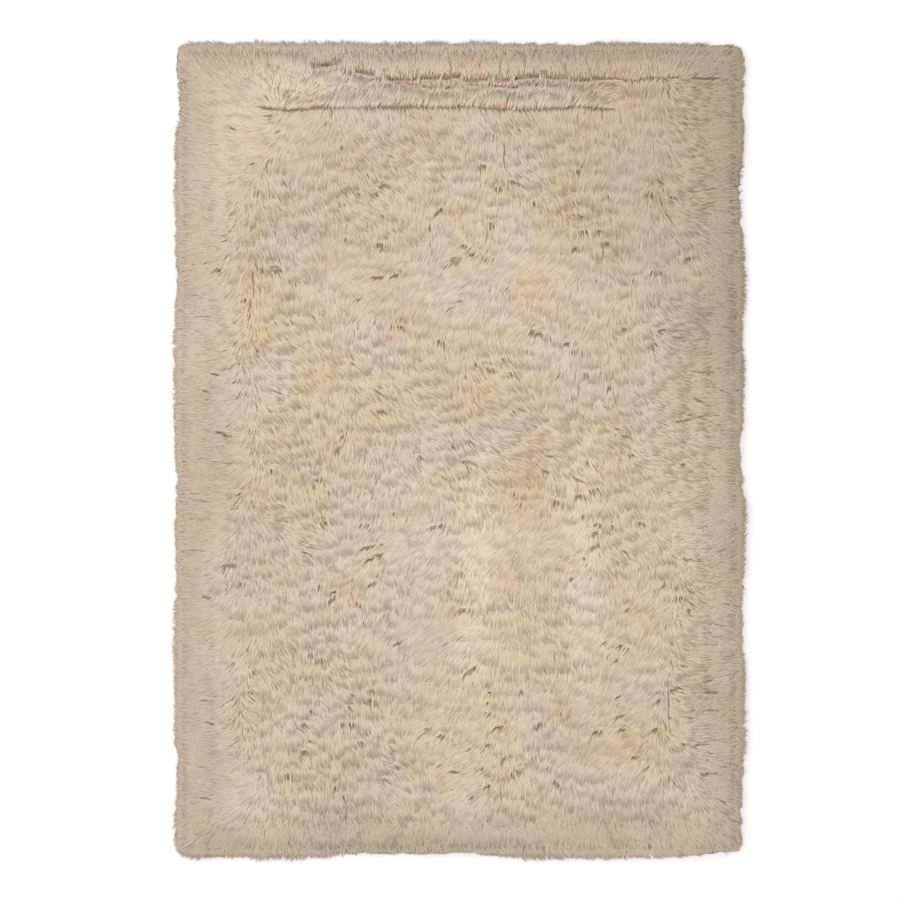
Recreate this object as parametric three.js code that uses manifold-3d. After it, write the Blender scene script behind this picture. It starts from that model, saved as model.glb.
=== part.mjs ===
// Area rug of long sheep's wool: sewn pelt panels over seam tapes, a felt interlining and
// a cloth lining, with a woven tape turned round the edge.
// Millimetres, +Z up, +Y towards the head end. The origin is on the floor under the middle.

import * as THREE from 'three';
import { mergeVertices } from 'three/addons/utils/BufferGeometryUtils.js';
import Module from 'manifold-3d';

// Overall size, over the wool
const RUG_WIDTH = 1400;
const RUG_LENGTH = 2000;
const WOOL_OVERHANG = 20; // how far the wool hangs past the bound edge
const BOUND_CORNER_RADIUS = 16; // of the bound edge
const WOOL_CORNER_RADIUS = 36;

// Layers, from the floor up
const LINING_THICKNESS = 1.2;
const EDGE_TAPE_THICKNESS = 0.8;
const FELT_THICKNESS = 3;
const SEAM_TAPE_THICKNESS = 0.6;
const HIDE_THICKNESS = 2.2;
const WOOL_HEIGHT = 38; // of the pile as it lies

// The panel layout
const HEAD_STRIP_LENGTH = 73;
const UPPER_STRIP_LENGTH = 73;
const FOOT_STRIP_LENGTH = 158;
const SIDE_STRIP_WIDTH = 205;
const FIELD_ROWS = ['upper', 'middle', 'lower'];
const HEAD_JOIN_X = -120; // where each end strip's two pelts meet
const UPPER_JOIN_X = 150;
const FOOT_JOIN_X = 60;

// Trim and clearances
const EDGE_TAPE_TURN = 25; // how far the edge tape is turned under
const LINING_CLEARANCE = 1; // between the lining and the turned tape
const SEAM_TAPE_WIDTH = 24;
const WOOL_FOOT_HEIGHT = 2; // the hanging wool stays this far off the floor
const WOOL_SHOULDER = 15; // the rounding of the wool's outer edge
const PARTING_DEPTH = 9; // the groove in the wool along each seam
const GAP = 0.3; // between touching pieces
const ARC_STEPS = 5; // to a corner's quarter turn
const SHOULDER_STEPS = 3;

// Sizes that follow from those
const BOUND_WIDTH = RUG_WIDTH - 2 * WOOL_OVERHANG;
const BOUND_LENGTH = RUG_LENGTH - 2 * WOOL_OVERHANG;
const HIDE_INSET = EDGE_TAPE_THICKNESS + GAP;
const HIDE_X = BOUND_WIDTH / 2 - HIDE_INSET; // half the sewn pelts' width
const HIDE_Y = BOUND_LENGTH / 2 - HIDE_INSET;
const FELT_Z = LINING_THICKNESS + GAP;
const SEAM_TAPE_Z = FELT_Z + FELT_THICKNESS + GAP;
const HIDE_Z = SEAM_TAPE_Z + SEAM_TAPE_THICKNESS + GAP;
const HIDE_TOP = HIDE_Z + HIDE_THICKNESS;
const WOOL_Z = HIDE_TOP + GAP;
const WOOL_TOP = WOOL_Z + WOOL_HEIGHT;

const wasm = await Module();
wasm.setup();

function finish(color, roughness) {
  return new THREE.MeshStandardMaterial({ color, roughness, metalness: 0 });
}

const WOOL = finish(0xccbaa3, 0.85);
const PELT = finish(0xe0cfb4, 0.75);
const TAPE = finish(0xd8ccb6, 0.9);
const FELT = finish(0xb3a48e, 0.95);
const LINING = finish(0xa6977f, 0.9);

// Solids for cutting and joining

function toSolid(geometry) {
  const bare = geometry.clone();
  bare.deleteAttribute('normal');
  bare.deleteAttribute('uv');
  const merged = mergeVertices(bare);
  return new wasm.Manifold(new wasm.Mesh({
    numProp: 3,
    vertProperties: merged.attributes.position.array,
    triVerts: Uint32Array.from(merged.index.array),
  }));
}

function toGeometry(solid) {
  const { vertProperties, triVerts } = solid.getMesh();
  const geometry = new THREE.BufferGeometry();
  geometry.setAttribute('position', new THREE.BufferAttribute(vertProperties, 3));
  geometry.setIndex(new THREE.BufferAttribute(triVerts, 1));
  geometry.computeVertexNormals();
  return geometry;
}

function named(name, geometry, material) {
  const mesh = new THREE.Mesh(geometry, material);
  mesh.name = name;
  return mesh;
}

// Outlines and slabs, centred on the rug

function roundedOutline(halfWidth, halfLength, radius) {
  const outline = new THREE.Shape();
  [[1, 1], [-1, 1], [-1, -1], [1, -1]].forEach(([sx, sy], i) => {
    const cx = sx * (halfWidth - radius);
    const cy = sy * (halfLength - radius);
    if (radius > 0) outline.absarc(cx, cy, radius, i * Math.PI / 2, (i + 1) * Math.PI / 2);
    else if (i === 0) outline.moveTo(cx, cy);
    else outline.lineTo(cx, cy);
  });
  return outline;
}

// The bound edge's outline, drawn inwards by an inset
function boundOutline(inset) {
  const radius = Math.max(BOUND_CORNER_RADIUS - inset, 0);
  return roundedOutline(BOUND_WIDTH / 2 - inset, BOUND_LENGTH / 2 - inset, radius);
}

function slab(outline, bottom, thickness) {
  const geometry = new THREE.ExtrudeGeometry(outline, {
    depth: thickness,
    bevelEnabled: false,
    curveSegments: ARC_STEPS,
  });
  return geometry.translate(0, 0, bottom);
}

function block({ x0, x1, y0, y1 }, bottom, thickness) {
  const geometry = new THREE.BoxGeometry(x1 - x0, y1 - y0, thickness);
  return geometry.translate((x0 + x1) / 2, (y0 + y1) / 2, bottom + thickness / 2);
}

// The panel layout, as the rectangles that the seams leave

const HEAD_SEAM_Y = HIDE_Y - HEAD_STRIP_LENGTH;
const UPPER_SEAM_Y = HEAD_SEAM_Y - UPPER_STRIP_LENGTH;
const FOOT_SEAM_Y = -HIDE_Y + FOOT_STRIP_LENGTH;
const SIDE_SEAM_X = HIDE_X - SIDE_STRIP_WIDTH;
const SIDE_JOIN_Y = (UPPER_SEAM_Y + FOOT_SEAM_Y) / 2;
const FIELD_ROW_LENGTH = (UPPER_SEAM_Y - FOOT_SEAM_Y) / FIELD_ROWS.length;
const BEYOND = 2 * WOOL_OVERHANG; // outer panels' blanks run past the wool

function endStrip(name, y0, y1, joinX) {
  return {
    [`${name}_left`]: { x0: -HIDE_X - BEYOND, x1: joinX, y0, y1 },
    [`${name}_right`]: { x0: joinX, x1: HIDE_X + BEYOND, y0, y1 },
  };
}

function sideStrip(name, x0, x1) {
  return {
    [`${name}_upper`]: { x0, x1, y0: SIDE_JOIN_Y, y1: UPPER_SEAM_Y },
    [`${name}_lower`]: { x0, x1, y0: FOOT_SEAM_Y, y1: SIDE_JOIN_Y },
  };
}

function fieldPanels() {
  const panels = {};
  FIELD_ROWS.forEach((row, i) => {
    const y1 = UPPER_SEAM_Y - i * FIELD_ROW_LENGTH;
    const y0 = y1 - FIELD_ROW_LENGTH;
    panels[`field_${row}_left`] = { x0: -SIDE_SEAM_X, x1: 0, y0, y1 };
    panels[`field_${row}_right`] = { x0: 0, x1: SIDE_SEAM_X, y0, y1 };
  });
  return panels;
}

const PANELS = {
  ...endStrip('head_strip', HEAD_SEAM_Y, HIDE_Y + BEYOND, HEAD_JOIN_X),
  ...endStrip('upper_strip', UPPER_SEAM_Y, HEAD_SEAM_Y, UPPER_JOIN_X),
  ...sideStrip('left_side', -HIDE_X - BEYOND, -SIDE_SEAM_X),
  ...sideStrip('right_side', SIDE_SEAM_X, HIDE_X + BEYOND),
  ...fieldPanels(),
  ...endStrip('foot_strip', -HIDE_Y - BEYOND, FOOT_SEAM_Y, FOOT_JOIN_X),
};

// The seams, each a straight line from one end to the other

function across(y, x0 = -HIDE_X, x1 = HIDE_X) {
  return { x0, x1, y0: y, y1: y };
}

function along(x, y0, y1) {
  return { x0: x, x1: x, y0, y1 };
}

function fieldSeams() {
  const seams = {};
  FIELD_ROWS.forEach((row, i) => {
    const top = UPPER_SEAM_Y - i * FIELD_ROW_LENGTH;
    const bottom = top - FIELD_ROW_LENGTH;
    seams[`field_${row}_middle`] = along(0, bottom, top);
    if (i > 0) seams[`field_above_${row}`] = across(top, -SIDE_SEAM_X, SIDE_SEAM_X);
  });
  return seams;
}

const SEAMS = {
  head: across(HEAD_SEAM_Y),
  upper: across(UPPER_SEAM_Y),
  foot: across(FOOT_SEAM_Y),
  left_side: along(-SIDE_SEAM_X, FOOT_SEAM_Y, UPPER_SEAM_Y),
  right_side: along(SIDE_SEAM_X, FOOT_SEAM_Y, UPPER_SEAM_Y),
  left_side_join: across(SIDE_JOIN_Y, -HIDE_X, -SIDE_SEAM_X),
  right_side_join: across(SIDE_JOIN_Y, SIDE_SEAM_X, HIDE_X),
  head_join: along(HEAD_JOIN_X, HEAD_SEAM_Y, HIDE_Y),
  upper_join: along(UPPER_JOIN_X, UPPER_SEAM_Y, HEAD_SEAM_Y),
  foot_join: along(FOOT_JOIN_X, -HIDE_Y, FOOT_SEAM_Y),
  ...fieldSeams(),
};

// Half the gap is cut from each side of a seam
function shrunk({ x0, x1, y0, y1 }, by) {
  return { x0: x0 + by, x1: x1 - by, y0: y0 + by, y1: y1 - by };
}

// A closed form cut into the panels' pieces along the seams
function cutToPanels(form, suffix, material) {
  const layer = new THREE.Group();
  for (const [name, panel] of Object.entries(PANELS)) {
    const blank = block(shrunk(panel, GAP / 2), -WOOL_TOP, 3 * WOOL_TOP);
    layer.add(named(`${name}_${suffix}`, toGeometry(form.intersect(toSolid(blank))), material));
  }
  return layer;
}

function hides() {
  const form = toSolid(slab(boundOutline(HIDE_INSET), HIDE_Z, HIDE_THICKNESS));
  return cutToPanels(form, 'hide', PELT);
}

// A seam's end that is at the pelts' edge, carried on to the edge of the wool
function overEdge(end, edge) {
  return Math.abs(end) === edge ? end + Math.sign(end) * 2 * WOOL_OVERHANG : end;
}

// The groove where the wool parts over a seam
function parting(seam) {
  const [x0, x1] = [overEdge(seam.x0, HIDE_X), overEdge(seam.x1, HIDE_X)];
  const [y0, y1] = [overEdge(seam.y0, HIDE_Y), overEdge(seam.y1, HIDE_Y)];
  const side = PARTING_DEPTH * Math.SQRT2;
  const bar = new THREE.BoxGeometry(x1 - x0 + y1 - y0, side, side);
  bar.rotateX(Math.PI / 4);
  if (x0 === x1) bar.rotateZ(Math.PI / 2);
  return toSolid(bar.translate((x0 + x1) / 2, (y0 + y1) / 2, WOOL_TOP));
}

// The wool stands on the hides and hangs over the bound edge all round
function wool() {
  const outline = roundedOutline(
    RUG_WIDTH / 2 - WOOL_SHOULDER,
    RUG_LENGTH / 2 - WOOL_SHOULDER,
    WOOL_CORNER_RADIUS - WOOL_SHOULDER,
  );
  const mat = new THREE.ExtrudeGeometry(outline, {
    depth: WOOL_TOP - WOOL_FOOT_HEIGHT - 2 * WOOL_SHOULDER,
    bevelSize: WOOL_SHOULDER,
    bevelThickness: WOOL_SHOULDER,
    bevelSegments: SHOULDER_STEPS,
    curveSegments: ARC_STEPS,
  });
  mat.translate(0, 0, WOOL_FOOT_HEIGHT + WOOL_SHOULDER);
  let form = toSolid(mat).subtract(toSolid(slab(boundOutline(-GAP), -GAP, WOOL_Z + GAP)));
  for (const seam of Object.values(SEAMS)) form = form.subtract(parting(seam));
  return cutToPanels(form, 'wool', WOOL);
}

// A seam's tape ends short of the taped seams and the edge that it runs up to
function seamTapes() {
  const layer = new THREE.Group();
  const half = SEAM_TAPE_WIDTH / 2;
  for (const [name, { x0, x1, y0, y1 }] of Object.entries(SEAMS)) {
    const strip = y0 === y1
      ? { x0: x0 + half + GAP, x1: x1 - half - GAP, y0: y0 - half, y1: y0 + half }
      : { x0: x0 - half, x1: x0 + half, y0: y0 + half + GAP, y1: y1 - half - GAP };
    const tape = block(strip, SEAM_TAPE_Z, SEAM_TAPE_THICKNESS);
    layer.add(named(`seam_tape_${name}`, tape, TAPE));
  }
  return layer;
}

// The edge tape covers the pelts' and felt's edges and is turned under beside the lining
function edgeTapes() {
  const edge = toSolid(slab(boundOutline(0), 0, HIDE_TOP));
  const inside = slab(boundOutline(EDGE_TAPE_THICKNESS), EDGE_TAPE_THICKNESS, HIDE_TOP);
  const under = slab(boundOutline(EDGE_TAPE_TURN), -GAP, HIDE_TOP);
  const ring = edge.subtract(toSolid(inside)).subtract(toSolid(under));

  const farX = BOUND_WIDTH / 2 + BEYOND;
  const farY = BOUND_LENGTH / 2 + BEYOND;
  const sideEndY = BOUND_LENGTH / 2 - EDGE_TAPE_TURN;
  const lengths = {
    head: { x0: -farX, x1: farX, y0: sideEndY, y1: farY },
    foot: { x0: -farX, x1: farX, y0: -farY, y1: -sideEndY },
    left: { x0: -farX, x1: 0, y0: -sideEndY, y1: sideEndY },
    right: { x0: 0, x1: farX, y0: -sideEndY, y1: sideEndY },
  };
  const layer = new THREE.Group();
  for (const [side, place] of Object.entries(lengths)) {
    const blank = toSolid(block(shrunk(place, GAP / 2), -GAP, HIDE_TOP + 2 * GAP));
    layer.add(named(`edge_tape_${side}`, toGeometry(ring.intersect(blank)), TAPE));
  }
  return layer;
}

function felt() {
  return named('felt_interlining', slab(boundOutline(HIDE_INSET), FELT_Z, FELT_THICKNESS), FELT);
}

function lining() {
  const outline = boundOutline(EDGE_TAPE_TURN + LINING_CLEARANCE);
  return named('cloth_lining', slab(outline, 0, LINING_THICKNESS), LINING);
}

const rug = new THREE.Group();
rug.add(lining(), felt(), edgeTapes(), seamTapes(), hides(), wool());

export default rug;
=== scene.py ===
"""Looks of a long-wool area rug: sewn pelt panels over felt and a cloth lining, metres, +Z up."""

import math

import bmesh
import bpy
import numpy as np
from mathutils import Matrix, Vector


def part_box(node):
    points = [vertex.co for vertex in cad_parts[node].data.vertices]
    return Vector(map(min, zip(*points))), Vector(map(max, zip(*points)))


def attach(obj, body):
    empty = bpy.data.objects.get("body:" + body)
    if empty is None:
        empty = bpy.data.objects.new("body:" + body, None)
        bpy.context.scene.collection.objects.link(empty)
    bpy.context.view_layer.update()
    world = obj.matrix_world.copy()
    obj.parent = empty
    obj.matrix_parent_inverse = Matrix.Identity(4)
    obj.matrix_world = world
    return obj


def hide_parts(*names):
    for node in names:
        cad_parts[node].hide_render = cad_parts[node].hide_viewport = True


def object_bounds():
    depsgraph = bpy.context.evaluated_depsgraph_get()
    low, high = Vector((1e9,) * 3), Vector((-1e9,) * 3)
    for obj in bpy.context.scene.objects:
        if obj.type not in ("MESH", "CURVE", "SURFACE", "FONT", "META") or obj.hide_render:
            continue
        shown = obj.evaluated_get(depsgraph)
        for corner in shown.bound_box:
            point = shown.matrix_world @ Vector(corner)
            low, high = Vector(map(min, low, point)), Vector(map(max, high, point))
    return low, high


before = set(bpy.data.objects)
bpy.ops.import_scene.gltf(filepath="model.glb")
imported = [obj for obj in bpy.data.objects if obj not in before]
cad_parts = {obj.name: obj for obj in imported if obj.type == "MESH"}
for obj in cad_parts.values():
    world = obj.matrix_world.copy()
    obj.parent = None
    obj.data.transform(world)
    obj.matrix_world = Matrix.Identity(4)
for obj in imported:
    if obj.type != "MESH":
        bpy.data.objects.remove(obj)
cad_low, cad_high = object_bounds()

BODY = "root"
PANELS = sorted(n[: -len("_wool")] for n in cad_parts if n.endswith("_wool"))

# Where the CAD layers are
hide_boxes = [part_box(f"{p}_hide") for p in PANELS]
HALF_WIDTH = max(high.x for _, high in hide_boxes)  # of the sewn pelts
HALF_LENGTH = max(high.y for _, high in hide_boxes)
WOOL_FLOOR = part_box("field_middle_left_wool")[0].z
HEAD_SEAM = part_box("upper_strip_left_hide")[1].y
UPPER_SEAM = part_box("upper_strip_left_hide")[0].y
OVERHANG = cad_high.x - HALF_WIDTH

# The fleece
PILE_HEIGHT = 0.032
UNDERWOOL = 0.9  # the dense wool's height, as a share of the pile's
UNDERWOOL_STEP = 0.006  # the grid of its upper face
SIDE_BAND, FOOT_BAND, HEAD_BAND = 0.21, 0.17, 0.1  # round the edge, where the wool is combed outwards
CORNER = 0.016  # the radius of the pelts' outline at its corners
ROOT_INSET = 0.001  # no lock grows nearer than this to the pelts' outline
WISP_BAND = 0.02  # along the outline
LOWEST = 0.0006  # over the floor, for any lock's corner
SLIT_TRIES = 800  # places where a tuft may end in a dark opening
STOPS = 0.35  # a slit cut at least this deep stops the locks that come to it

# The partings near the head
SWEPT, SWEPT_ASIDE = math.radians(148), math.radians(122)  # how far the wool between the two lines is turned
HEADWARDS = math.radians(84)  # how the wool past the head line lies
BARE_WIDTH = 0.014  # beside a line that the wool lies away from
ROOT_PITCH = 0.0016  # of the extra roots along such a line

# The cut pieces and the stitches
FACE_STEP = 0.03  # the grid on which a cut piece's faces are uneven
STITCH_PITCH, STITCH_LENGTH, STITCH_RADIUS = 0.006, 0.0042, 0.0003
STITCH_LEAN = 0.5  # radians
STITCH_HEIGHT = 0.0002  # of its thread's middle over the floor
STITCH_JITTER = 0.0003  # how far a stitch may be out of line


def lock_form(levels):
    """A three-sided spike that swells from a point at its root: its corners' levels and angles, and faces."""
    bm = bmesh.new()
    bmesh.ops.create_cone(bm, cap_ends=True, segments=3, radius1=1, radius2=0, depth=1 - levels[1])
    bmesh.ops.translate(bm, verts=bm.verts, vec=(0, 0, (1 + levels[1]) / 2))
    bmesh.ops.remove_doubles(bm, verts=bm.verts, dist=1e-5)
    for level in levels[2:-1]:
        whole = bm.verts[:] + bm.edges[:] + bm.faces[:]
        bmesh.ops.bisect_plane(bm, geom=whole, plane_co=(0, 0, level), plane_no=(0, 0, 1))
    base = [f for f in bm.faces if f.normal.z < -0.9]
    root = bmesh.ops.poke(bm, faces=base)["verts"]
    bmesh.ops.translate(bm, verts=root, vec=(0, 0, -levels[1]))
    bm.verts.index_update()
    corners = [(v.co.z, math.atan2(v.co.y, v.co.x)) for v in bm.verts]
    faces = [[v.index for v in f.verts] for f in bm.faces]
    bm.free()
    return np.array(corners), faces


class Locks:
    """A kind of lock: how close together they stand, their size, and their cross-sections.

    Levels are shares of a lock's length, swell its width there, and pull how far its tuft draws it in.
    """

    def __init__(self, spacing, width, reach, start, levels, swell, pull):
        self.spacing, self.width, self.reach, self.start = spacing, width, reach, start
        self.levels, self.swell, self.pull = np.array(levels), np.array(swell), pull
        self.corners, self.faces = lock_form(levels)
        self.level_of = np.abs(self.corners[:, :1] - self.levels).argmin(1)


class Drift:
    """A smooth random field over the rug, from -1 to 1, with hills of about the given size."""

    HILLS = 128  # each way, before they repeat

    def __init__(self, seed, size_x, size_y=None):
        self.size = (size_x, size_y or size_x)
        self.hills = np.random.default_rng(seed).uniform(-1, 1, (self.HILLS, self.HILLS))

    def __call__(self, x, y):
        n = self.HILLS
        u, v = x / self.size[0] + n // 2, y / self.size[1] + n // 2
        i, j = np.floor(u).astype(int), np.floor(v).astype(int)
        fu, fv = u - i, v - j
        fu, fv = fu * fu * (3 - 2 * fu), fv * fv * (3 - 2 * fv)
        i, j, k, m = i % n, j % n, (i + 1) % n, (j + 1) % n
        low = self.hills[i, j] * (1 - fu) + self.hills[k, j] * fu
        high = self.hills[i, m] * (1 - fu) + self.hills[k, m] * fu
        return low * (1 - fv) + high * fv


turn_wide, turn_fine = Drift(3, 0.21), Drift(4, 0.075)
lumps, lumps_fine = Drift(5, 0.034, 0.019), Drift(15, 0.013, 0.01)
height_wide = Drift(6, 0.13)
smoothness = Drift(7, 0.11, 0.16)
rim_wave, rim_tufts, rim_wander = Drift(8, 0.07), Drift(9, 0.018), Drift(16, 0.21)
band_wander = Drift(17, 0.15)


def smoothstep(low, high, x):
    """From 0 at low to 1 at high, eased at both ends; low may be the larger."""
    t = np.clip((x - low) / (high - low), 0, 1)
    return t * t * (3 - 2 * t)


def hump(x, width):
    """A bell that is 1 where x is 0."""
    return np.exp(-((x / width) ** 2))


def combed(x, y):
    """How far the wool is combed outwards, as a vector that grows from 0 to 1 across the band."""
    wander = band_wander(x, y) * smoothstep(0, 0.1, -beyond_edge(x, y)[0])
    ex = np.sign(x) * np.clip((np.abs(x) - (HALF_WIDTH - SIDE_BAND) + 0.06 * wander) / SIDE_BAND, 0, 1.3)
    band = np.where(y > 0, HEAD_BAND, FOOT_BAND)
    wander = np.where(y > 0, 0.3 * wander, wander)
    ey = np.sign(y) * np.clip((np.abs(y) - (HALF_LENGTH - band) + 0.05 * wander) / band, 0, 1.3)
    return ex, ey


def outwards(x, y):
    """How far into the outward-combed band a point is, from 0 to a little over 1."""
    ex, ey = combed(x, y)
    return np.clip(np.hypot(ex, ey), 0, 1.2)


def head_line(x):
    """Where the wool parts near the head seam: it leaves the seam on the left."""
    return HEAD_SEAM + 0.034 * smoothstep(-0.08, -0.4, x) + 0.005 * rim_wave(x, 0 * x)


def upper_line(x):
    """Where the wool parts along the upper seam."""
    return UPPER_SEAM + 0.006 * rim_wave(x, 0 * x + 0.5)


# Where the wool lies away from a line on both sides, so that its roots would be bare
PARTED = ((upper_line, -0.6, 0.6), (head_line, 0.33, 0.6))


def parted(x, y):
    """Distance from the nearest parting's line."""
    return np.minimum.reduce([
        np.abs(y - line(x)) + 0.5 * (np.maximum(x - end, 0) + np.maximum(start - x, 0))
        for line, start, end in PARTED
    ])


def strip_of(x, y):
    """Which side of the two head partings a root is on."""
    return (y > upper_line(x)).astype(int) + (y > head_line(x))


def lie(x, y):
    """The direction in which the wool lies, as a unit vector."""
    ex, ey = combed(x, y)
    edge = np.clip(np.hypot(ex, ey) * 1.7, 0, 1)
    turn = 1.0 * turn_wide(x, y) + 0.6 * turn_fine(x, y)
    above = y > upper_line(x)
    aside = smoothstep(-0.4, -0.54, x) * hump(y - upper_line(x), 0.12)
    swept = smoothstep(0.46, 0.3, x) * (SWEPT + SWEPT_ASIDE * aside - 0.5 * turn)
    angle = -math.pi / 2 + turn - np.where(above, 0, math.pi / 2 * aside)
    angle = np.where(above, angle + swept, angle)
    angle = np.where(y > head_line(x), HEADWARDS + 0.5 * turn, angle)
    out = np.arctan2(ey, ex) + 0.35 * turn
    dx = (1 - edge) * np.cos(angle) + 1.5 * edge * np.cos(out)
    dy = (1 - edge) * np.sin(angle) + 1.5 * edge * np.sin(out)
    length = np.hypot(dx, dy) + 1e-9
    return dx / length, dy / length


def beyond_edge(x, y):
    """Distance outside the sewn pelts' outline, negative inside, and the way out."""
    qx, qy = np.abs(x) - (HALF_WIDTH - CORNER), np.abs(y) - (HALF_LENGTH - CORNER)
    ox, oy = np.maximum(qx, 0), np.maximum(qy, 0)
    corner = np.hypot(ox, oy)
    distance = corner + np.minimum(np.maximum(qx, qy), 0) - CORNER
    return distance, np.sign(x) * ox / (corner + 1e-9), np.sign(y) * oy / (corner + 1e-9)


def draped(points, further=1.0):
    """Wool past the edge hangs down over it instead of standing out."""
    x, y, z = points[..., 0], points[..., 1], points[..., 2]
    past, nx, ny = beyond_edge(x, y)
    room = OVERHANG * (1 + 0.45 * rim_wave(x, y) + 0.38 * rim_tufts(x, y)) + 0.019 * rim_wander(x, y)
    room = np.maximum(room, 0.004) * further
    past = np.maximum(past, 0)
    kept = room * (1 - np.exp(-past / room))
    x = x + nx * (kept - past)
    y = y + ny * (kept - past)
    drop = np.clip(1.12 * kept / room, 0, 1) ** 1.9
    z = z * (1 - 0.95 * drop) + 0.002 * drop
    return np.stack([x, y, np.maximum(z, 0.001)], -1)


def course(x, y, levels, reach):
    """Each lock's way over the rug at its levels, following the lie of the wool."""
    points, px, py, gone = [], x, y, 0.0
    for level in levels:
        along = level**1.4
        dx, dy = lie(px, py)
        px = px + dx * reach * (along - gone)
        py = py + dy * reach * (along - gone)
        points.append(np.stack([px, py], -1))
        gone = along
    return np.stack(points, 1)


class Nap:
    """The fleece's upper surface on a fine grid: its height, and the slits where tufts end."""

    CELL, SPAN = 0.0015, (1.5, 2.1)

    def __init__(self, seed):
        self.nx, self.ny = (round(span / self.CELL) for span in self.SPAN)
        i, j = np.meshgrid(np.arange(self.nx), np.arange(self.ny), indexing="ij")
        self.x, self.y = (i - self.nx / 2) * self.CELL, (j - self.ny / 2) * self.CELL
        x, y = self.x, self.y
        ex, ey = combed(x, y)
        calm = 1 - 0.6 * smoothstep(0.25, 0.9, np.hypot(ex, ey))
        rough = (0.55 + 0.45 * smoothstep(-0.4, 0.3, smoothness(x, y))) * calm
        relief = 0.08 * height_wide(x, y) + rough * (0.04 * lumps(x, y) + 0.012 * lumps_fine(x, y))
        inside = -beyond_edge(x, y)[0]
        self.height = PILE_HEIGHT * (1 + relief) * (0.5 + 0.5 * smoothstep(-0.035, 0.07, inside))
        self.cut, self.near = np.zeros_like(x), np.zeros_like(x)
        rng = np.random.default_rng(seed)
        self.partings(rng)
        self.tuft_ends(rng)

    def slit(self, cx, cy, half, angle, depth, bend, way):
        """A short dark opening, bent and with pointed ends, that faces one way.

        The wool behind it stands proud, and the wool before it starts deep.
        """
        i0, i1 = (round((cx + side * (half + 0.012)) / self.CELL + self.nx / 2) for side in (-1, 1))
        tall = 0.022 + half * abs(math.sin(angle))
        j0, j1 = (round((cy + side * tall) / self.CELL + self.ny / 2) for side in (-1, 1))
        part = (slice(max(i0, 0), i1), slice(max(j0, 0), j1))
        x, y = self.x[part] - cx, self.y[part] - cy
        u = (x * math.cos(angle) + y * math.sin(angle)) / half
        v = -x * math.sin(angle) + y * math.cos(angle) - bend * (u * u - 0.4)
        v = v * way
        ends = np.clip(1 - u * u, 0, 1) ** 0.6
        proud = 0.0025 * depth * hump(v + 0.007, 0.006)
        deep = 0.0065 * hump(v - 0.0013, 0.0018) + 0.0015 * hump(v - 0.007, 0.006)
        self.height[part] += ends * (proud - deep * depth)
        self.cut[part] = np.maximum(self.cut[part], ends * depth**0.4 * hump(v, 0.0014))
        self.near[part] = np.maximum(self.near[part], ends * (v > 0) * hump(v - 0.003, 0.005))

    def tuft_ends(self, rng):
        """Slits at random, most of them where the wool is rough and few where it is combed outwards."""
        x = rng.uniform(-HALF_WIDTH + 0.05, HALF_WIDTH - 0.05, SLIT_TRIES)
        y = rng.uniform(-HALF_LENGTH + 0.12, UPPER_SEAM - 0.02, SLIT_TRIES)
        for cx, cy in zip(x, y):
            place = np.array(cx), np.array(cy)
            combed_lengthwise = float(combed(*place)[1])
            rough = float(smoothstep(-0.35, 0.3, smoothness(*place)))
            chance = (0.25 + 0.75 * rough) * (1 - 0.9 * min(1, abs(combed_lengthwise) * 2))
            if rng.uniform() > chance:
                continue
            half = rng.uniform(0.009, 0.022) * (1.6 if rng.uniform() < 0.2 else 1)
            depth = 0.06 + 0.48 * rng.uniform() ** 1.5
            dx, dy = (float(d) for d in lie(*place))
            angle = rng.normal(0, 0.28)
            way = 1 if dy * math.cos(angle) - dx * math.sin(angle) > 0 else -1
            self.slit(cx, cy, half, angle, depth, rng.normal(0, 0.0025), way)

    def partings(self, rng):
        """The two long partings beside the head seams, each a row of slits that overlap a little."""
        rows = (
            (head_line, -0.37, 0.56, 1, 0.0),
            (head_line, -0.3, 0.2, 1, -0.018),
            (upper_line, -0.43, 0.33, -1, 0.0),
        )
        for line, start, end, way, aside in rows:
            x = start
            while x < end:
                half = rng.uniform(0.014, 0.05) * (0.6 if aside else 1)
                cx = x + half
                cy = float(line(np.array(cx))) + rng.normal(0, 0.003) + aside
                slope = float(line(np.array(cx + 0.01)) - line(np.array(cx - 0.01))) / 0.02
                depth = rng.uniform(0.6, 1.4) * (0.5 if aside else 1)
                self.slit(cx, cy, half, slope + rng.normal(0, 0.06), depth, rng.normal(0, 0.002), way)
                x += 2 * half * rng.uniform(0.75, 1.3)

    def at(self, grid, x, y):
        """One of the grids, read between its cells."""
        u = np.clip(x / self.CELL + self.nx / 2, 0, self.nx - 2)
        v = np.clip(y / self.CELL + self.ny / 2, 0, self.ny - 2)
        i, j = u.astype(int), v.astype(int)
        fu, fv = u - i, v - j
        near = grid[i, j] * (1 - fu) + grid[i + 1, j] * fu
        far = grid[i, j + 1] * (1 - fu) + grid[i + 1, j + 1] * fu
        return near * (1 - fv) + far * fv


nap = Nap(21)


def scattered(low, high, spacing, rng, jitter=0.48):
    """Roots over a rectangle, in staggered rows, each moved a little at random."""
    nx = max(1, round((high[0] - low[0]) / spacing))
    ny = max(1, round((high[1] - low[1]) / spacing))
    i, j = np.meshgrid(np.arange(nx), np.arange(ny), indexing="ij")
    u = (i + 0.5 + 0.25 * (-1.0) ** j + jitter * rng.uniform(-1, 1, i.shape)) / nx
    v = (j + 0.5 + jitter * rng.uniform(-1, 1, i.shape)) / ny
    x = low[0] + np.clip(u, 0, 1) * (high[0] - low[0])
    y = low[1] + np.clip(v, 0, 1) * (high[1] - low[1])
    return x.ravel(), y.ravel()


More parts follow.
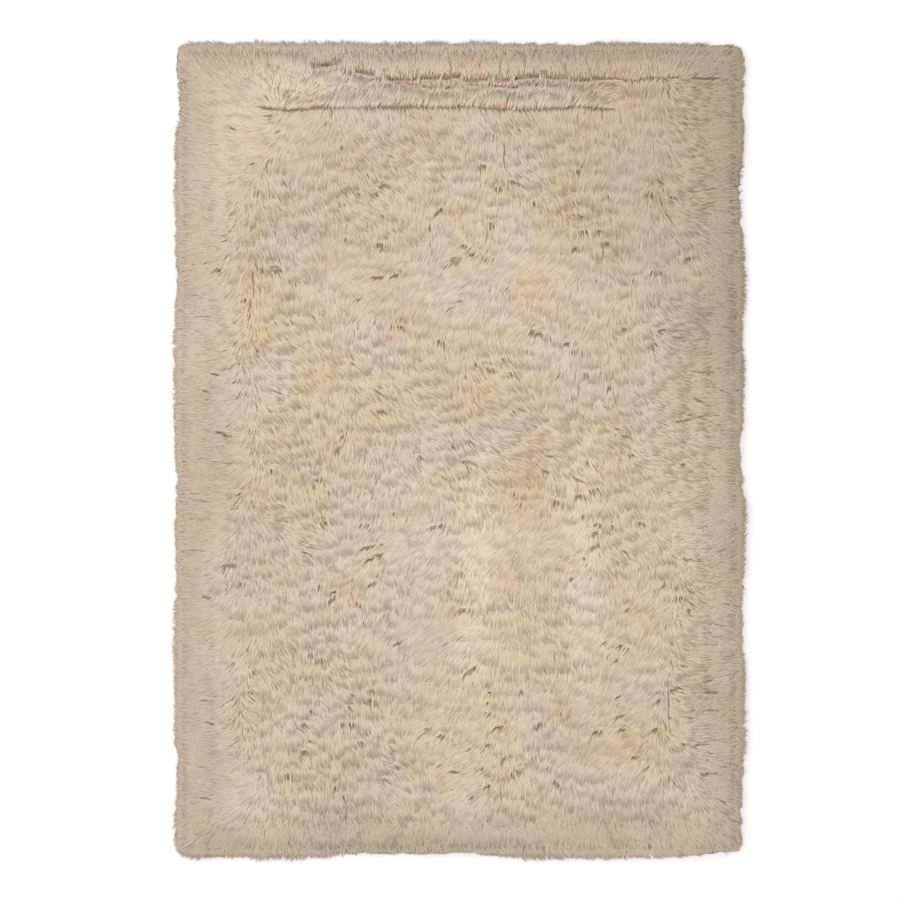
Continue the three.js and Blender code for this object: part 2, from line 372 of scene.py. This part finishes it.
class Tufts:
    """Tufts that the locks gather into, on a jittered grid over the whole rug."""

    def __init__(self, seed, spacing, strength):
        self.spacing, self.strength = spacing, strength
        rng = np.random.default_rng(seed)
        self.nx = math.ceil(2 * HALF_WIDTH / spacing) + 2
        self.ny = math.ceil(2 * HALF_LENGTH / spacing) + 2
        i, j = np.meshgrid(np.arange(self.nx), np.arange(self.ny), indexing="ij")
        self.x = ((i - self.nx / 2 + 0.5 + 0.42 * rng.uniform(-1, 1, i.shape)) * spacing).ravel()
        self.y = ((j - self.ny / 2 + 0.5 + 0.42 * rng.uniform(-1, 1, i.shape)) * spacing).ravel()
        self.tone = rng.uniform(-1, 1, len(self.x))
        self.lift = rng.uniform(-1, 1, len(self.x))
        self.reach = rng.uniform(0.86, 1.16, len(self.x))

    def drawn(self, kind):
        """The tufts' middle lines for one kind of lock."""
        return course(self.x, self.y, kind.levels, kind.reach * self.reach)

    def of(self, x, y):
        """The nearest tuft to each root, on its own side of the partings."""
        i0 = np.floor(x / self.spacing + self.nx / 2).astype(int)
        j0 = np.floor(y / self.spacing + self.ny / 2).astype(int)
        best, nearest = np.full(len(x), 1e9), np.zeros(len(x), int)
        side = strip_of(x, y)
        for di in (-1, 0, 1):
            for dj in (-1, 0, 1):
                i = np.clip(i0 + di, 0, self.nx - 1)
                j = np.clip(j0 + dj, 0, self.ny - 1)
                k = i * self.ny + j
                across = strip_of(self.x[k], self.y[k]) != side  # a parting lies between
                d = np.hypot(self.x[k] - x, self.y[k] - y) + across * 1.0
                closer = d < best
                best, nearest = np.where(closer, d, best), np.where(closer, k, nearest)
        return nearest


small_tufts = Tufts(11, 0.015, 0.45)
large_tufts = Tufts(12, 0.044, 0.35)


def mesh_from(bm, name):
    """A bmesh as a mesh; the bmesh is freed."""
    mesh = bpy.data.meshes.new(name)
    bm.to_mesh(mesh)
    bm.free()
    return mesh


def smoothed(mesh):
    """Shade all the mesh's faces smooth."""
    mesh.polygons.foreach_set("use_smooth", np.ones(len(mesh.polygons), bool))


def mesh_of_locks(name, points, faces, uv):
    """One mesh of closed spikes from each lock's corners."""
    count, corners = points.shape[:2]
    mesh = bpy.data.meshes.new(name)
    mesh.vertices.add(count * corners)
    mesh.vertices.foreach_set("co", points.astype(np.float32).ravel())
    loops = np.concatenate(faces)
    sizes = np.array([len(f) for f in faces])
    starts = np.concatenate([[0], np.cumsum(sizes)[:-1]])
    first = np.arange(count)[:, None]
    mesh.loops.add(count * len(loops))
    vertex = (first * corners + loops).ravel()
    mesh.loops.foreach_set("vertex_index", vertex.astype(np.int32))
    mesh.polygons.add(count * len(sizes))
    mesh.polygons.foreach_set("loop_start", (first * len(loops) + starts).ravel().astype(np.int32))
    mesh.polygons.foreach_set("loop_total", np.tile(sizes, count).astype(np.int32))
    smoothed(mesh)
    layer = mesh.uv_layers.new(name="OFBake")
    layer.data.foreach_set("uv", uv.reshape(-1, 2)[vertex].astype(np.float32).ravel())
    mesh.update()
    mesh.validate()
    return mesh


def written(mesh, name, values):
    """Give each of the mesh's points a value that its finish reads."""
    mesh.attributes.new(name, "FLOAT", "POINT").data.foreach_set("value", values.astype(np.float32).ravel())


def map_cells(x, y, across, along):
    """A place on the map for every lock: cells in rows, so that neighbours stay neighbours."""
    count = len(x)
    columns = max(1, int(math.sqrt(count * 2.2)))
    rows = math.ceil(count / columns)
    by_row = np.argsort(y, kind="stable")
    order = np.concatenate([r[np.argsort(x[r], kind="stable")] for r in np.array_split(by_row, rows)])
    sizes = [len(r) for r in np.array_split(by_row, rows)]
    row = np.repeat(np.arange(rows), sizes)
    column = np.concatenate([np.arange(s) for s in sizes])
    at = np.empty((count, 2))
    at[order] = np.stack([column, row], -1)
    u = (at[:, :1] + 0.1 + 0.8 * across) / columns
    v = (at[:, 1:] + 0.06 + 0.88 * along) / rows
    return np.stack([u, v], -1)


def underwool(panel):
    """The dense wool that the locks lie on, as one closed body that sinks towards the rug's edge."""
    low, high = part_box(f"{panel}_hide")
    bm = bmesh.new()
    nx, ny = (math.ceil((high[axis] - low[axis]) / UNDERWOOL_STEP) for axis in (0, 1))
    bmesh.ops.create_grid(bm, x_segments=nx, y_segments=ny, size=0.5)
    bmesh.ops.scale(bm, verts=bm.verts, vec=(high.x - low.x, high.y - low.y, 1))
    bmesh.ops.translate(bm, verts=bm.verts, vec=((low.x + high.x) / 2, (low.y + high.y) / 2, 0))
    rim = [e for e in bm.edges if e.is_boundary]
    skirt = bmesh.ops.extrude_edge_only(bm, edges=rim)["geom"]
    foot = [g for g in skirt if isinstance(g, bmesh.types.BMVert)]
    bottom = [g for g in skirt if isinstance(g, bmesh.types.BMEdge) and g.is_boundary]
    bmesh.ops.contextual_create(bm, geom=bottom)
    at = np.array([v.co[:] for v in bm.verts])
    inside = -beyond_edge(at[:, 0], at[:, 1])[0]
    top = nap.at(nap.height, at[:, 0], at[:, 1]) * UNDERWOOL * (0.5 + 0.5 * smoothstep(0, 0.03, inside))
    top = WOOL_FLOOR + np.maximum(top, 0.004)
    feet = {v.index for v in foot}
    for v, height in zip(bm.verts, top):
        v.co.z = WOOL_FLOOR if v.index in feet else height
    bmesh.ops.recalc_face_normals(bm, faces=bm.faces)
    mesh = mesh_from(bm, f"{panel}_underwool")
    smoothed(mesh)
    for name, value in (("tone", 0.0), ("along", 0.4), ("across", 0.0)):
        written(mesh, name, np.full(len(at), value))
    written(mesh, "rim", outwards(at[:, 0], at[:, 1]))
    return mesh


FINE = Locks(
    spacing=0.0037, width=0.0048, reach=0.046, start=0.82,
    levels=(0.0, 0.45, 1.0), swell=(0.0, 1.0, 0.0), pull=(0.1, 0.3, 0.45),
)
LONG = Locks(
    spacing=0.0088, width=0.0058, reach=0.064, start=0.78,
    levels=(0.0, 0.34, 0.7, 1.0), swell=(0.0, 1.0, 0.75, 0.0), pull=(0.0, 0.2, 0.4, 0.65),
)
WISP = Locks(  # thin ones, only along the rug's edge
    spacing=0.0042, width=0.0022, reach=0.05, start=0.5,
    levels=(0.0, 0.5, 1.0), swell=(0.0, 1.0, 0.0), pull=(0.1, 0.3, 0.5),
)


def stopped(ways, levels):
    """The ways, ended where they come to a slit, and the share of each that is left."""
    count = len(ways)
    steps = np.linspace(0.06, 1, 20)
    share = np.ones(count)
    for step in steps[::-1]:
        k = min(int(np.searchsorted(levels, step, side="right")) - 1, len(levels) - 2)
        t = (step - levels[k]) / (levels[k + 1] - levels[k])
        at = ways[:, k] * (1 - t) + ways[:, k + 1] * t
        share = np.where(nap.at(nap.cut, at[:, 0], at[:, 1]) > STOPS, step, share)
    short = []
    for level in levels:
        wanted = level * share
        k = np.clip(np.searchsorted(levels, wanted, side="right") - 1, 0, len(levels) - 2)
        t = ((wanted - levels[k]) / (levels[k + 1] - levels[k]))[:, None]
        rows = np.arange(count)
        short.append(ways[rows, k] * (1 - t) + ways[rows, k + 1] * t)
    return np.stack(short, 1), share


def rooted(panel, kind, rng):
    """Where one kind of lock grows on a pelt; fine wool also covers the lines that it lies away from."""
    low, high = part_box(f"{panel}_hide")
    x, y = scattered(low, high, kind.spacing, rng)
    if kind is FINE:
        for line, start, end in PARTED:
            row = np.arange(start, end, ROOT_PITCH)
            beside = line(row) + rng.uniform(0.0006, 0.006, len(row)) * rng.choice((-1, 1), len(row))
            here = (row > low.x) & (row < high.x) & (beside > low.y) & (beside < high.y)
            x, y = np.concatenate([x, row[here]]), np.concatenate([y, beside[here]])
    edge = beyond_edge(x, y)[0]
    inside = edge < -ROOT_INSET
    if kind is WISP:
        inside &= edge > -WISP_BAND
    return x[inside], y[inside]


def gathered(x, y, kind, small, large, rng):
    """The locks' ways seen from above, drawn into their tufts, ended at slits and set a little astray."""
    ways = course(x, y, kind.levels, kind.reach * rng.uniform(0.8, 1.2, len(x)))
    strength = 0.5 + 0.5 * smoothstep(-0.5, 0.4, smoothness(x, y))
    for tufts, which in ((large_tufts, large), (small_tufts, small)):
        drawn = tufts.drawn(kind)
        for level, pull in enumerate(kind.pull):
            share = (pull * tufts.strength * strength * rng.uniform(0.6, 1.1, len(x)))[:, None]
            ways[:, level] += share * (drawn[which, level] - ways[:, level])
    ways, share = stopped(ways, kind.levels)
    dx, dy = lie(x, y)
    back = 0.008 * hump(parted(x, y), BARE_WIDTH) + 0.004 * nap.at(nap.near, x, y)
    ways -= (back[:, None] * np.stack([dx, dy], -1))[:, None]
    stray = 0.0026 * np.where(share < 1, 0.3, 1)[:, None, None]
    return ways + rng.normal(0, 1, (len(x), 1, 2)) * stray * (kind.levels**1.2)[:, None]


def laid(ways, kind, bare, lift, rng):
    """The locks' middle lines: from their roots up to the nap's surface, and down over the rug's edge."""
    start = kind.start + (0.94 - kind.start) * bare
    rise = start + (1 - start) * (1 - (1 - kind.levels) ** 6)
    lift = lift + rng.normal(0, 0.0001, len(ways))
    z = WOOL_FLOOR + nap.at(nap.height, ways[..., 0], ways[..., 1]) * rise + lift[:, None] * kind.levels
    further = rng.uniform(1.0, 1.45, (len(ways), 1)) if kind is WISP else 1.0
    return draped(np.concatenate([ways, z[..., None]], -1), further)


def spun(line, kind, rng):
    """The locks' corners round their middle lines: each lock is much wider than it is thick."""
    tangent = np.gradient(line, axis=1)
    tangent /= np.linalg.norm(tangent, axis=2, keepdims=True) + 1e-9
    side = np.stack([-tangent[..., 1], tangent[..., 0], np.zeros_like(tangent[..., 0])], -1)
    side /= np.linalg.norm(side, axis=2, keepdims=True) + 1e-6
    up = np.cross(tangent, side)
    at = kind.level_of
    roll = rng.uniform(-0.2, 0.2, (len(line), 1)) + math.pi / 2
    width = kind.width * rng.uniform(0.6, 1.35, (len(line), 1)) * kind.swell[at]
    angle = kind.corners[:, 1] + roll
    flat = (np.cos(angle) * width / 2)[..., None] * side[:, at]
    tall = (np.sin(angle) * width / 12)[..., None] * up[:, at]
    points = line[:, at] + flat + tall
    points[..., 2] = np.maximum(points[..., 2], LOWEST)
    return points


def fleece(panel, kind, seed):
    """One kind of lock over one pelt, with the values that its finish reads."""
    rng = np.random.default_rng(seed)
    x, y = rooted(panel, kind, rng)
    small, large = small_tufts.of(x, y), large_tufts.of(x, y)
    ways = gathered(x, y, kind, small, large, rng)
    bare = np.maximum(hump(parted(x, y), BARE_WIDTH), 0.8 * nap.at(nap.near, x, y))[:, None]
    lift = 0.0002 * small_tufts.lift[small] + 0.0003 * large_tufts.lift[large]
    points = spun(laid(ways, kind, bare, lift, rng), kind, rng)

    level, angle = kind.corners.T
    along = np.broadcast_to(kind.start + (1 - kind.start) * level, points.shape[:2])
    across = np.where(level > 0.99, 0.5, 0.5 + 0.5 * np.cos(angle + math.pi / 2))
    across = np.broadcast_to(across, points.shape[:2])
    mesh = mesh_of_locks(panel, points, kind.faces, map_cells(x, y, across, along))
    tone = 0.55 * rng.uniform(-1, 1, len(x)) + 0.45 * small_tufts.tone[small]
    written(mesh, "tone", np.repeat(tone, len(level)))
    written(mesh, "along", along)
    written(mesh, "across", across + rng.uniform(0, 1, (len(x), 1)) * 40)
    written(mesh, "rim", outwards(points[..., 0], points[..., 1]))
    # The roots beside a parting, which the finish paints dark brown as painted shade
    written(mesh, "parting", bare * (level < 0.01))
    return mesh


class Value:
    """A socket of a material's nodes, so that its maths is written as Python."""

    def __init__(self, tree, socket):
        self.tree, self.socket = tree, socket

    def _math(self, operation, *others):
        node = self.tree.nodes.new("ShaderNodeMath")
        node.operation = operation
        for slot, value in zip(node.inputs, (self, *others)):
            put(self.tree, slot, value)
        return Value(self.tree, node.outputs[0])

    def __add__(self, other):
        return self._math("ADD", other)

    def __mul__(self, other):
        return self._math("MULTIPLY", other)

    def __sub__(self, other):
        return self._math("SUBTRACT", other)

    def __rsub__(self, other):
        return self * -1 + other

    def __pow__(self, other):
        return self._math("POWER", other)

    def __abs__(self):
        return self._math("ABSOLUTE")

    def sine(self):
        return self._math("SINE")

    __radd__ = __add__
    __rmul__ = __mul__


def put(tree, slot, value):
    """Link a Value to a node's input, or set the input to a plain value."""
    if isinstance(value, Value):
        tree.links.new(value.socket, slot)
    else:
        slot.default_value = value


class Finish:
    """A material built around one Principled shader."""

    def __init__(self, name, **fixed):
        self.material = bpy.data.materials.new(name)
        self.material.use_nodes = True
        self.tree = self.material.node_tree
        self.shader = self.tree.nodes["Principled BSDF"]
        for socket, value in fixed.items():
            self.shader.inputs[socket.replace("_", " ")].default_value = value

    def node(self, kind, settings=None, output=0, **inputs):
        """One of a new node's outputs; an input's name has _ for a space."""
        node = self.tree.nodes.new(f"ShaderNode{kind}")
        for name, value in (settings or {}).items():
            setattr(node, name, value)
        for name, value in inputs.items():
            slots = [s for s in node.inputs if s.enabled and s.name == name.replace("_", " ")]
            put(self.tree, slots[0], value)
        return Value(self.tree, node.outputs[output])

    def attribute(self, name):
        return self.node("Attribute", {"attribute_name": name}, output="Fac")

    def place(self):
        return self.node("TexCoord", output="Object")

    def axes(self, vector):
        """A vector's three values."""
        node = self.tree.nodes.new("ShaderNodeSeparateXYZ")
        put(self.tree, node.inputs[0], vector)
        return [Value(self.tree, output) for output in node.outputs]

    def noise(self, vector, scale, detail=2.0, rough=0.5):
        return self.node("TexNoise", output="Fac", Vector=vector, Scale=scale, Detail=detail, Roughness=rough)

    def between(self, value, low, high):
        """From 0 where the value is low to 1 where it is high, eased at both ends."""
        return self.node(
            "MapRange", {"interpolation_type": "SMOOTHSTEP", "clamp": True}, output="Result",
            Value=value, From_Min=low, From_Max=high,
        )

    def blend(self, share, first, second, kind="MIX"):
        node = self.tree.nodes.new("ShaderNodeMix")
        node.data_type, node.blend_type = "RGBA", kind
        put(self.tree, node.inputs["Factor"], share)
        put(self.tree, node.inputs[6], first)  # the colour inputs A and B, and below the colour output
        put(self.tree, node.inputs[7], second)
        return Value(self.tree, node.outputs[2])

    def colour_of(self, value):
        """A grey of the given value, for multiplying into a colour."""
        return self.node("CombineXYZ", X=value, Y=value, Z=value)

    def leaning(self, share):
        """The surface's normal turned towards straight up, as soft hair is lit from every side."""
        face = self.node("NewGeometry", output="Normal")
        mixed = self.node("Mix", {"data_type": "VECTOR"}, output=1, Factor=share, A=face, B=(0.0, 0.0, 1.0))
        return self.node("VectorMath", {"operation": "NORMALIZE"}, Vector=mixed)

    def set(self, **sockets):
        """Fill the shader's varying inputs; the finished material."""
        for name, value in sockets.items():
            put(self.tree, self.shader.inputs[name.replace("_", " ")], value)
        return self.material


def shade(red, green, blue):
    """A display colour, 0 to 255, as the scene's linear one."""
    linear = (((c / 255 + 0.055) / 1.055) ** 2.4 for c in (red, green, blue))
    return (*linear, 1.0)


def wool_finish():
    """Ivory wool: cream and peach patches, pale streaks lit further by painted light, a painted pool of light
    in the middle, painted shade over the outer band, the top right corner and down in its brown gaps, and a
    painted fill light below the locks' tips.
    """
    finish = Finish("long_wool", Roughness=0.8, Sheen_Weight=0.15, Sheen_Roughness=0.5)
    place = finish.place()
    x, y, height = finish.axes(place)
    tone, rim, along = (finish.attribute(name) for name in ("tone", "rim", "along"))

    # Where on a lock, and where on the rug
    strands = finish.node("CombineXYZ", X=finish.attribute("across") * 7.0, Y=along * 1.6, Z=0.0)
    strand = finish.noise(strands, 1.0, 1.0)
    tip = finish.between(along, 0.72, 1.0)
    sway = finish.noise(place, 7.0, 2.0) * 0.1 - 0.05
    # Pale streaks of combed wool in the lower half, made brighter as well: painted light along them
    pale_lit_streak = 1.0 - finish.between(abs(x + sway - 0.045), 0.015, 0.07)
    pale_lit_streak = pale_lit_streak + (1.0 - finish.between(abs(x + sway * 1.4 - 0.31), 0.02, 0.08)) * 0.8
    pale_lit_streak = pale_lit_streak * finish.between(y, -0.7, -0.45) * (1.0 - finish.between(y, -0.2, 0.15))
    # The top right corner, painted browner and darker: a painted shade where the lamp's light falls off
    corner = finish.between(x + y * 0.45, 0.35, 1.1)
    # The middle, painted brighter: a painted pool of light
    middle = 1.0 - finish.between((x - 0.08) ** 2.0 * 4.0 + (y + 0.2) ** 2.0, 0.1, 1.1)
    # The outer band, painted duller and darker: a painted shade where the wool is combed outwards
    edge = finish.between(rim, 0.15, 0.95)
    broad = finish.noise(place, 2.6, 2.0)
    patch = finish.between(finish.noise(place, 5.5, 3.0), 0.4, 0.62)
    peach = finish.between(finish.noise(place, 8.5, 2.0), 0.5, 0.72) * (1.0 - rim)

    # The wool that light reaches
    pale, cream, tan = shade(228, 214, 200), shade(227, 210, 185), shade(226, 197, 164)
    colour = finish.blend(patch, pale, cream)
    colour = finish.blend(peach * 0.5 + corner * 0.3, colour, tan)
    # Tan towards the roots: the wool's own warmer colour there, and a painted warmth in the shade between the
    # locks
    colour = finish.blend(0.4 - tip * 0.4, colour, tan)
    colour = finish.blend(pale_lit_streak * 0.6, colour, shade(230, 217, 202))
    colour = finish.blend(edge * 0.5, colour, shade(218, 202, 184))

    # Down in the slits, on the underwool and at the roots: browner wool and painted shade
    # Low wool, by its height over the floor, painted browner and darker: the deeper wool's colour and a
    # painted shade in the slits
    deep = 1.0 - finish.between(height, WOOL_FLOOR + 0.6 * PILE_HEIGHT, WOOL_FLOOR + 0.94 * PILE_HEIGHT)
    deep = deep * (1.0 - finish.between(rim, 0.6, 0.95))
    colour = finish.blend(deep * 0.8, colour, shade(200, 154, 110))
    # The locks' lower parts and the underwool, painted darker brown: the roots' colour and a painted shade
    # under the covering locks
    under = (1.0 - finish.between(along, 0.42, 0.48)) * (0.6 - edge * 0.4)
    colour = finish.blend(under, colour, shade(180, 140, 102))
    # Roots beside the partings, painted dark brown: a painted shade in the partings
    colour = finish.blend((finish.attribute("parting") ** 2.2) * 0.8, colour, shade(168, 124, 84))

    # A brightness multiplied into the colour: random tone and strands, painted light on the streaks and in
    # the middle, painted shade on the outer band, the top right corner and in the gaps, and the locks painted
    # lighter below their tips as a painted fill in the shade between them
    light = 1.29 - tip * 0.12 + tone * 0.03 + (strand - 0.5) * 0.04
    light = light + pale_lit_streak * 0.1 - edge * 0.16 - corner * 0.15 - deep * 0.08
    light = light + middle * 0.05 + (broad - 0.5) * 0.3
    colour = finish.blend(1.0, colour, finish.colour_of(light), "MULTIPLY")
    return finish.set(Base_Color=colour, Normal=finish.leaning(0.3))


def pelt_finish():
    """Sueded skin: a soft nap in patches, fine pores and a few long creases with painted shade in them."""
    finish = Finish("sueded_pelt", Roughness=0.86, Sheen_Weight=0.3, Sheen_Roughness=0.6)
    place = finish.place()
    cloud = finish.between(finish.noise(place, 14.0, 4.0), 0.38, 0.64)
    pores = finish.noise(place, 1500.0, 2.0)
    folds = finish.noise(place, 42.0, 5.0, 0.62)
    crease_and_shade = finish.between(folds, 0.46, 0.5) * (1.0 - finish.between(folds, 0.5, 0.54))
    colour = finish.blend(cloud, shade(222, 204, 176), shade(208, 184, 150))
    # The creases, painted darker as well as dented: a painted shade in their grooves
    colour = finish.blend(crease_and_shade * 0.4, colour, shade(184, 156, 120))
    colour = finish.blend(1.0, colour, finish.colour_of(pores * 0.22 + 0.89), "MULTIPLY")
    bump = finish.node("Bump", Strength=0.4, Distance=0.0006, Height=pores + crease_and_shade * -0.8)
    return finish.set(Base_Color=colour, Normal=bump, Roughness=0.78 + cloud * 0.14)


def felt_finish():
    """Pressed wool felt: short fibres lying every way, with a few darker ones."""
    finish = Finish("pressed_felt", Roughness=0.95, Sheen_Weight=0.4, Sheen_Roughness=0.7)
    place = finish.place()
    fibres = 0.0
    for turn in (0.3, 1.4, 2.5):
        way = finish.node("Mapping", Vector=place, Rotation=(0.0, 0.0, turn), Scale=(160.0, 1100.0, 400.0))
        fibres = finish.noise(way, 1.0, 2.0) * 0.33 + fibres
    dark = finish.between(fibres, 0.56, 0.66)
    cloud = finish.noise(place, 22.0, 3.0)
    colour = finish.blend(finish.between(cloud, 0.35, 0.65), shade(198, 188, 170), shade(184, 172, 152))
    colour = finish.blend(dark * 0.45, colour, shade(138, 124, 104))
    bump = finish.node("Bump", Strength=0.5, Distance=0.0008, Height=fibres * 1.6 + cloud * 0.4)
    return finish.set(Base_Color=colour, Normal=bump)


def woven_finish(name, light, dark, pitch, twill):
    """Cotton cloth: threads over and under, in plain weave or in a twill's slanting ribs, with painted shade
    in the dips between threads.
    """
    finish = Finish(name, Roughness=0.9, Sheen_Weight=0.2, Sheen_Roughness=0.6)
    place = finish.place()
    x, y, _ = finish.axes(place)
    turn = 2 * math.pi / pitch
    if twill:
        weave = ((x + y) * (turn * 0.5)).sine() * 0.5 + ((x - y) * (turn * 1.5)).sine() * 0.18
    else:
        weave = (x * turn).sine() * (y * turn).sine()
    slub = finish.node("Mapping", Vector=place, Scale=(60.0, 900.0, 1.0))
    slub = finish.noise(slub, 1.0, 2.0)
    worn = finish.between(finish.noise(place, 9.0, 4.0), 0.4, 0.65)
    # The threads' raised parts painted lighter and the dips between them darker: a painted shade of the
    # weave's relief
    colour = finish.blend(weave * 0.35 + 0.5, dark, light)
    colour = finish.blend(1.0, colour, finish.colour_of(slub * 0.2 + worn * 0.06 + 0.87), "MULTIPLY")
    bump = finish.node("Bump", Strength=0.6, Distance=0.0005, Height=weave + slub * 0.5)
    return finish.set(Base_Color=colour, Normal=bump, Roughness=0.84 + worn * 0.1)


def added(name, mesh, finish):
    """A finished piece on the rug's one body."""
    piece = bpy.data.objects.new(name, mesh)
    bpy.context.scene.collection.objects.link(piece)
    mesh.materials.append(finish)
    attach(piece, BODY)
    return piece


def uneven(bm, node, ease):
    """Dip a flat piece's two faces into it here and there, by up to ease."""
    low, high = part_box(node)
    for axis, way in enumerate(((1, 0, 0), (0, 1, 0))):
        for k in range(1, int((high[axis] - low[axis]) / FACE_STEP)):
            at = [0.0, 0.0, 0.0]
            at[axis] = low[axis] + k * FACE_STEP
            whole = bm.verts[:] + bm.edges[:] + bm.faces[:]
            bmesh.ops.bisect_plane(bm, geom=whole, plane_co=at, plane_no=way)
    middle = (low.z + high.z) / 2
    for v in bm.verts:
        dip = 0.5 + 0.5 * math.sin(v.co.x * 61 + 2 * math.sin(v.co.y * 17)) * math.sin(v.co.y * 47)
        v.co.z += ease * dip * (1 if v.co.z < middle else -1)


def cut_piece(node, name, finish, soften, ease=0.0):
    """A flat cut piece in its CAD layer's place, with soft edges and faces that are a little uneven."""
    bm = bmesh.new()
    bm.from_mesh(bpy.data.objects[node].data)
    bmesh.ops.remove_doubles(bm, verts=bm.verts, dist=1e-5)
    bmesh.ops.dissolve_limit(bm, angle_limit=0.02, verts=bm.verts, edges=bm.edges)
    sharp = [e for e in bm.edges if e.is_manifold and e.calc_face_angle() > 0.6]
    bmesh.ops.bevel(
        bm, geom=sharp, offset=soften, segments=2, profile=0.5, affect="EDGES", material=-1,
        clamp_overlap=True,
    )
    if ease:
        uneven(bm, node, ease)
    bmesh.ops.triangulate(bm, faces=[f for f in bm.faces if len(f.verts) > 4])
    bmesh.ops.recalc_face_normals(bm, faces=bm.faces)
    piece = added(name, mesh_from(bm, name), finish)
    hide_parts(node)
    return piece


def stitch():
    """One slanting stitch, along Y before it leans."""
    bm = bmesh.new()
    bmesh.ops.create_cone(
        bm, cap_ends=True, segments=6, radius1=STITCH_RADIUS, radius2=STITCH_RADIUS, depth=STITCH_LENGTH
    )
    bmesh.ops.bevel(
        bm, geom=[e for e in bm.edges if e.calc_face_angle() > 1.2],
        offset=0.0001, segments=1, profile=0.5, affect="EDGES", material=-1,
    )
    bmesh.ops.rotate(bm, verts=bm.verts, matrix=Matrix.Rotation(math.pi / 2, 3, "X"))
    bmesh.ops.rotate(bm, verts=bm.verts, matrix=Matrix.Rotation(STITCH_LEAN, 3, "Z"))
    return bm


def felling(node, side, finish):
    """Slanting stitches that join a turned edge tape to the lining's edge."""
    low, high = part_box("cloth_lining")
    along_x = side[0] == 0
    start, end = (low.x, high.x) if along_x else (low.y, high.y)
    line = side[1] * high.y if along_x else side[0] * high.x
    shape = stitch()
    if not along_x:
        bmesh.ops.rotate(shape, verts=shape.verts, matrix=Matrix.Rotation(math.pi / 2, 3, "Z"))
    one = mesh_from(shape, "stitch")
    rng = np.random.default_rng(len(node))
    bm = bmesh.new()
    for at in np.arange(start + 0.02, end - 0.02, STITCH_PITCH):
        before = len(bm.verts)
        bm.from_mesh(one)
        bm.verts.ensure_lookup_table()
        place = (at, line, STITCH_HEIGHT) if along_x else (line, at, STITCH_HEIGHT)
        shift = Vector(place) + Vector((*rng.uniform(-STITCH_JITTER, STITCH_JITTER, 2), 0))
        bmesh.ops.translate(bm, verts=bm.verts[before:], vec=shift)
    piece = added(f"{node}_stitches", mesh_from(bm, f"{node}_stitches"), finish)
    smoothed(piece.data)
    return piece


def floor():
    """A pale studio floor."""
    bm = bmesh.new()
    bmesh.ops.create_grid(bm, x_segments=1, y_segments=1, size=30)
    mesh = mesh_from(bm, "floor")
    ground = bpy.data.objects.new("floor", mesh)
    bpy.context.scene.collection.objects.link(ground)
    finish = Finish(
        "studio_floor", Roughness=0.9, Base_Color=(0.88, 0.91, 0.95, 1),
        Emission_Color=(1.0, 1.0, 1.0, 1.0), Emission_Strength=0.34,
    )
    mesh.materials.append(finish.material)


def studio():
    """Soft light: a warm surround and one large lamp on the left."""
    world = bpy.data.worlds.new("studio")
    world.use_nodes = True
    background = world.node_tree.nodes["Background"]
    background.inputs["Color"].default_value = (1, 0.955, 0.895, 1)
    background.inputs["Strength"].default_value = 0.705
    bpy.context.scene.world = world
    data = bpy.data.lights.new("key", "AREA")
    data.shape, data.size, data.energy = "DISK", 3.0, 44
    light = bpy.data.objects.new("key", data)
    light.location = (-2.8, 0.6, 3.8)
    light.rotation_euler = (-Vector(light.location)).to_track_quat("-Z", "Y").to_euler()
    bpy.context.scene.collection.objects.link(light)
    bpy.context.scene.view_settings.view_transform = "Standard"


def camera():
    """Straight above the rug, a little left of its middle, with 2.2 m of floor in view."""
    data = bpy.data.cameras.new("camera")
    data.lens, data.sensor_width = 85, 36
    seat = bpy.data.objects.new("camera", data)
    view_width = 2.2
    distance = view_width / 2 / (data.sensor_width / 2 / data.lens)
    aim_x, aim_z = -0.023, 0.03
    seat.location = (aim_x, 0.0, aim_z + distance)
    bpy.context.scene.collection.objects.link(seat)
    bpy.context.scene.camera = seat


floor()
wool, pelt, felt = wool_finish(), pelt_finish(), felt_finish()
drill = woven_finish("lining_cotton", shade(226, 214, 192), shade(186, 170, 144), 0.0014, False)
twill = woven_finish("edge_twill", shade(214, 198, 170), shade(170, 150, 120), 0.0026, True)
seam_cotton = woven_finish("seam_cotton", shade(230, 222, 206), shade(196, 184, 162), 0.0011, False)
thread = woven_finish("waxed_thread", shade(222, 208, 182), shade(168, 148, 116), 0.0007, True)

lining = cut_piece("cloth_lining", "lining_sheet", drill, 0.0003, 0.00012)
interlining = cut_piece("felt_interlining", "felt_sheet", felt, 0.0008, 0.0002)

for number, panel in enumerate(PANELS):
    layers = [
        added(f"{panel}_underwool", underwool(panel), wool),
        added(f"{panel}_fine_wool", fleece(panel, FINE, 100 + number), wool),
        added(f"{panel}_long_locks", fleece(panel, LONG, 200 + number), wool),
    ]
    if not panel.startswith(("field", "upper")):
        layers.append(added(f"{panel}_wisps", fleece(panel, WISP, 300 + number), wool))
    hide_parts(f"{panel}_wool")
    skin = cut_piece(f"{panel}_hide", f"{panel}_skin", pelt, 0.0006, 0.0002)

for node in sorted(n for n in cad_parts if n.startswith("seam_tape")):
    tape = cut_piece(node, f"{node}_strip", seam_cotton, 0.00015)

for node, side in (
    ("edge_tape_head", (0, 1)), ("edge_tape_foot", (0, -1)),
    ("edge_tape_left", (-1, 0)), ("edge_tape_right", (1, 0)),
):
    tape = cut_piece(node, f"{node}_binding", twill, 0.0002)
    stitches = felling(node, side, thread)

studio()
camera()
